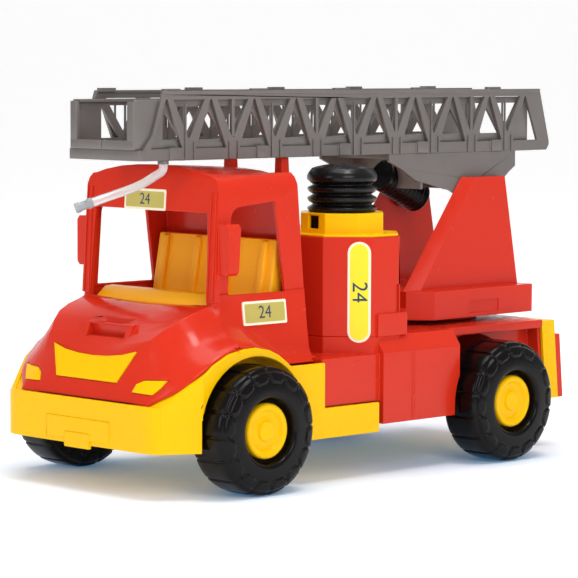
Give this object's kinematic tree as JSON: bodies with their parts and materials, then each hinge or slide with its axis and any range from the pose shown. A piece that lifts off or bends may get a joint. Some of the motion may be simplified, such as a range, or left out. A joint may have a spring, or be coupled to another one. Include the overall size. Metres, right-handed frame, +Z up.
{
  "type": "toy fire engine",
  "caption": "Toy fire engine with a hollow cab, a water tank with a press pump, and a turning turret that raises and extends a truss ladder.",
  "frame": {"origin": "on the ground, midway along the whole length, on the centre plane", "axes": "+X towards the tail, +Y towards the engine's right-hand side, +Z up"},
  "size_m": [0.4452, 0.2174, 0.2722],
  "materials": {
    "red_plastic": "glossy moulded plastic",
    "yellow_plastic": "glossy moulded plastic",
    "amber_plastic": "satin moulded plastic",
    "lamp_yellow": "glossy moulded plastic",
    "grey_plastic": "silvery grey satin plastic",
    "tyre_black": "satin black blow-moulded plastic",
    "black_rubber": "soft satin black",
    "clear_hose": "clear flexible tube",
    "smoke_plastic": "translucent grey plastic",
    "axle_steel": "bright steel rod",
    "label_paper": "printed film label"
  },
  "bodies": {
    "chassis": {"chassis_frame": "yellow_plastic", "front_axle": "axle_steel", "rear_axle": "axle_steel", "cab_shell": "red_plastic", "cab_seat": "amber_plastic", "grille_insert": "amber_plastic", "headlight_left": "lamp_yellow", "headlight_right": "lamp_yellow", "rear_body": "red_plastic", "water_tank": "red_plastic", "tank_collar": "yellow_plastic", "tailboard": "yellow_plastic", "tail_panel": "red_plastic"},
    "wheel_front_left": {"tyre_front_left": "tyre_black", "hub_front_left": "yellow_plastic"},
    "wheel_front_right": {"tyre_front_right": "tyre_black", "hub_front_right": "yellow_plastic"},
    "wheel_rear_left": {"tyre_rear_left": "tyre_black", "hub_rear_left": "yellow_plastic"},
    "wheel_rear_right": {"tyre_rear_right": "tyre_black", "hub_rear_right": "yellow_plastic"},
    "pump": {"pump_cap": "black_rubber", "pump_bellows": "black_rubber"},
    "turret": {"turntable_disc": "red_plastic", "turret_body": "red_plastic"},
    "lower_ladder": {"ladder_base": "grey_plastic", "ladder_keel": "grey_plastic", "ladder_buffer": "black_rubber", "hose_port": "grey_plastic", "hose": "clear_hose", "hose_nozzle": "smoke_plastic"},
    "upper_ladder": {"ladder_top": "grey_plastic"}
  },
  "joints": [
    {"name": "front_left_spin", "type": "hinge", "parent": "chassis", "child": "wheel_front_left", "pos_m": [-0.14613, -0.093, 0.044], "axis": [0, 1, 0], "continuous": true},
    {"name": "front_right_spin", "type": "hinge", "parent": "chassis", "child": "wheel_front_right", "pos_m": [-0.14613, 0.093, 0.044], "axis": [0, 1, 0], "continuous": true},
    {"name": "rear_left_spin", "type": "hinge", "parent": "chassis", "child": "wheel_rear_left", "pos_m": [0.10187, -0.093, 0.044], "axis": [0, 1, 0], "continuous": true},
    {"name": "rear_right_spin", "type": "hinge", "parent": "chassis", "child": "wheel_rear_right", "pos_m": [0.10187, 0.093, 0.044], "axis": [0, 1, 0], "continuous": true},
    {"name": "turret_turn", "type": "hinge", "parent": "chassis", "child": "turret", "pos_m": [0.11587, 0, 0.102], "axis": [0, 0, 1], "range_deg": [-120, 120]},
    {"name": "ladder_raise", "type": "hinge", "parent": "turret", "child": "lower_ladder", "pos_m": [0.13687, 0, 0.195], "axis": [0, 1, 0], "range_deg": [0, 60]},
    {"name": "ladder_extend", "type": "slide", "parent": "lower_ladder", "child": "upper_ladder", "axis": [-1, 0, 0], "range_m": [0, 0.3]},
    {"name": "pump_press", "type": "slide", "parent": "chassis", "child": "pump", "axis": [0, 0, -1], "range_m": [0, 0.01], "stiffness_N_per_m": 400, "deforming": ["pump_bellows"]}
  ]
}
